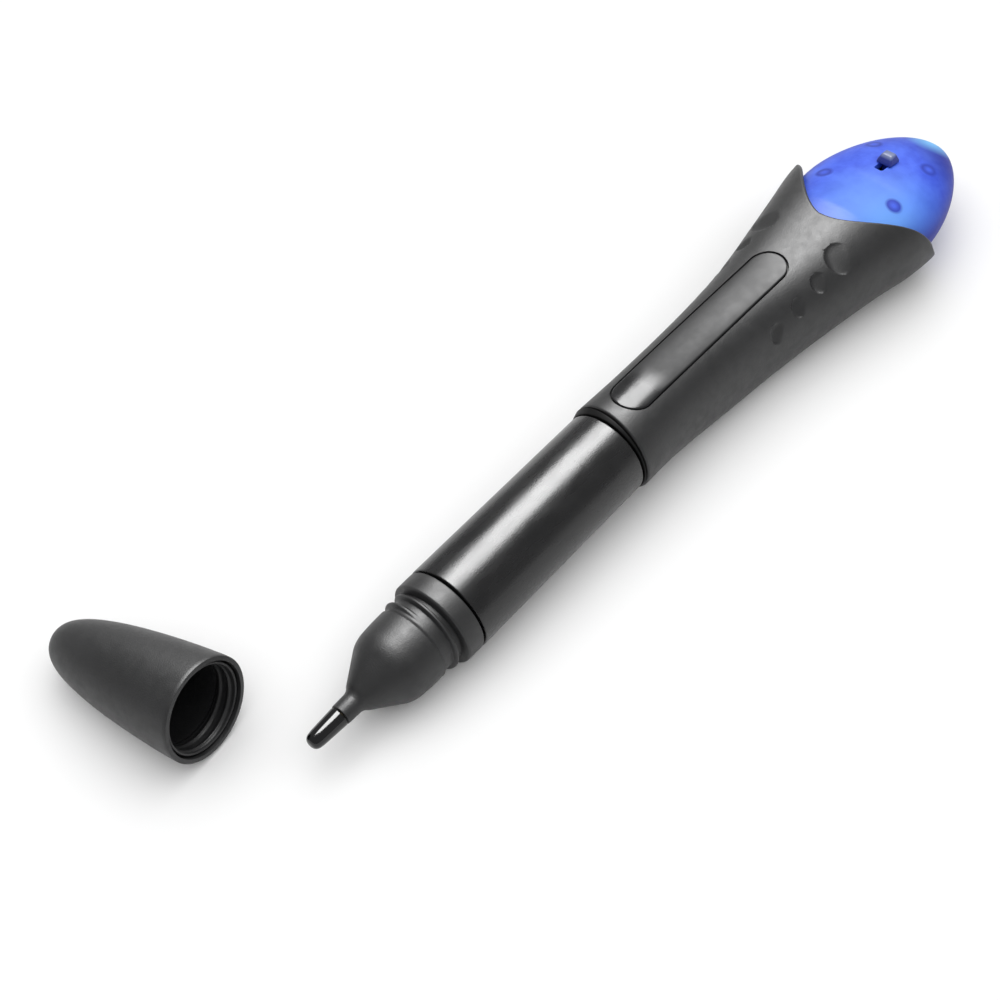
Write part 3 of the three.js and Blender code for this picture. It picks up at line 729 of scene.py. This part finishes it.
def lens():
    """Outer surface from the skirt to the apex, then the inner surface back."""
    angle = round_angles(200)
    back = rim_x(angle) - LENS["skirt"]

    def ring(share, depth):
        end = LENS["apex_x"] - depth
        return lens_points(back + (end - back) * math.sin(share * math.pi / 2), angle, depth)

    shares = np.linspace(0, 1, 110)
    rings = [ring(s, 0) for s in shares] + [ring(s, LENS["wall"]) for s in shares[::-1]]
    return skin("lens_fine", rings, PEN, loop=True)


def rounded_slot(name, half_length, half_width, low, high, place):
    outline = rounded_outline(half_length, half_width, 0.5, 12)
    return stacked(name, outline, [(low, 0, 0), (low, 1, 1), (high, 1, 1), (high, 0, 0)], place)


def knob():
    """Tapered thumb knob with soft edges, and its stem down through the slot."""
    levels = [(-3.0, 0.0, 0.0), (-3.0, 0.62, 0.58), (0.3, 0.62, 0.58), (0.35, 1.5, 1.5), (0.42, 1.6, 1.6)]
    levels += [(0.42 + 1.45 * t, 1.6 - 0.75 * t ** 1.4, 1.6 - 0.5 * t ** 1.4) for t in np.linspace(0, 1, 12)[1:]]
    levels += [(1.97, 0.78, 1.03), (2.04, 0.62, 0.85), (2.05, 0, 0)]
    place = DECK_PLACE @ Matrix.Translation((KNOB_X - DECK["x"], 0, 0))
    return stacked("knob_fine", rounded_outline(1, 1, 0.28, 16), levels, place)


slot_middle = (SLOT["from"] + SLOT["to"]) / 2 - DECK["x"]
slot_place = DECK_PLACE @ Matrix.Translation((slot_middle, 0, 0))
slot_cutter = rounded_slot("slot_cutter", (SLOT["to"] - SLOT["from"]) / 2, SLOT["half"], -3, 3, slot_place)
dress(boolean_cut(lens(), slot_cutter), "lamp", "lens_blue", "lamp_lens")
dress(knob(), "switch", "knob_grey", "switch_knob")


# ---- Cap ----

def cap_radius(x):
    """Radius of the cap's outside at a distance from its closed end."""
    return CAP["r"] * (1 - (1 - x / CAP["length"]) ** CAP["belly"]) ** (1 / CAP["nose"])


pitch = math.radians(CAP_MOUTH["pitch"])
sample = np.linspace(0, CAP["length"], 257)
mouth_height = np.max((CAP["length"] - sample) * math.sin(pitch) + cap_radius(sample) * math.cos(pitch))
CAP_PLACE = (Matrix.Translation(Vector((CAP_MOUTH["x"] - FOOTPRINT_MIDDLE[0],
                                        CAP_MOUTH["y"] - FOOTPRINT_MIDDLE[1], mouth_height)) * MM)
             @ Matrix.Rotation(math.radians(CAP_MOUTH["yaw"]), 4, "Z") @ Matrix.Rotation(-pitch, 4, "Y")
             @ Matrix.Scale(MM, 4) @ Matrix.Translation((-CAP["length"], 0, 0)))


def cap_shell():
    """Closed end to mouth outside, then the mouth's lip and the inside."""
    length = CAP["length"]
    outer = [(x, cap_radius(x)) for x in length * (1 - np.cos(np.linspace(0, math.pi / 2 * 0.985, 70)))]
    rest = [(length - 0.12, 8.97), (length - 0.03, 8.9), (length, 8.78), (length, 8.2), (length - 0.05, 8.15),
            (27.4, 8.15), (27.4, 7.3), (20, 7.2), (16, 6.75), (12, 6.1), (9, 5.5), (6, 4.6), (3.6, 3.9),
            (2.6, 3.5), (2.4, 3.0), (2.3, 0)]
    return turned("cap_shell_fine", outer + rest, CAP_PLACE, 160, rounded=False)


def cap_liner():
    """Stepped ring in the cap's mouth with a screw thread inside."""
    angle = round_angles(128)
    inner, bore, end = 27.7, 7.4, CAP["length"] - 0.5
    profile = [(inner, 7.85), (end - 0.15, 7.85), (end, 7.7), (end, 7.5), (end - 0.1, bore)]
    for x in np.linspace(end - 0.2, 27.75, 40):
        phase = (x - inner) / THREAD_PITCH - angle / (2 * math.pi)
        wave = 0.5 + 0.5 * np.cos(2 * math.pi * phase)
        profile.append((x, bore - 0.3 * wave ** 3 * smoothstep(end - x, 0.3, 0.9)))
    profile.append((inner, bore))
    return skin("cap_liner_fine", [circle(x, r, angle) for x, r in profile], CAP_PLACE, loop=True)


dress(cap_shell(), "cap", "housing_plastic", "cap_shell")
dress(cap_liner(), "cap", "housing_plastic", "cap_thread_liner")


# ---- Stage ----

def floor():
    bpy.ops.mesh.primitive_plane_add(size=6)
    plane = bpy.context.object
    plane.name = "floor"
    f = Finish("floor_pale", (0.9, 0.9, 0.9), 0.9)
    f.color(f.ramp(f.noise(0.01, 2), (0.3, (0.89, 0.89, 0.89)), (0.7, (0.91, 0.91, 0.91))))
    plane.data.materials.append(f.material)


def area_light(name, position, size, energy):
    """White rectangle that faces the middle of the floor."""
    data = bpy.data.lights.new(name, "AREA")
    data.shape = "RECTANGLE"
    data.size, data.size_y = size
    data.energy = energy
    light = bpy.data.objects.new(name, data)
    bpy.context.scene.collection.objects.link(light)
    light.location = position
    light.rotation_euler = (-Vector(position)).to_track_quat("-Z", "Y").to_euler()
    return light


def sky():
    world = bpy.data.worlds.new("studio")
    world.use_nodes = True
    background = world.node_tree.nodes["Background"]
    background.inputs["Color"].default_value = (1, 1, 1, 1)
    background.inputs["Strength"].default_value = 0.4
    bpy.context.scene.world = world


def camera():
    """Camera at the photo's viewing angle: elevation, azimuth and roll in degrees about the pen."""
    elevation, azimuth, roll = map(math.radians, (CAMERA["elevation"], CAMERA["azimuth"], CAMERA["roll"]))
    away = Vector((math.cos(elevation) * math.cos(azimuth), math.cos(elevation) * math.sin(azimuth),
                   math.sin(elevation)))
    right = Vector((0, 0, 1)).cross(away).normalized()
    up = away.cross(right)
    turned_right = math.cos(roll) * right + math.sin(roll) * up
    turned_up = math.cos(roll) * up - math.sin(roll) * right
    target = Vector(CAMERA["target"]) * MM
    position = target + away * CAMERA["distance"] * MM
    data = bpy.data.cameras.new("camera")
    data.sensor_width = 36
    data.lens = CAMERA["lens"]
    data.clip_start = 0.01
    obj = bpy.data.objects.new("camera", data)
    bpy.context.scene.collection.objects.link(obj)
    rotation = Matrix((turned_right, turned_up, away)).transposed().to_4x4()
    obj.matrix_world = Matrix.Translation(position) @ rotation
    bpy.context.scene.camera = obj


floor()
sky()
key = area_light("key", (0.28, 0.15, 0.75), (0.5, 0.66), 21)
key.visible_diffuse = False  # draws the highlights only
overhead = area_light("overhead", (0, -0.2, 3), (6, 6), 150)
overhead.visible_glossy = False  # lights the matt surfaces only
camera()
bpy.context.scene.view_settings.view_transform = "Standard"
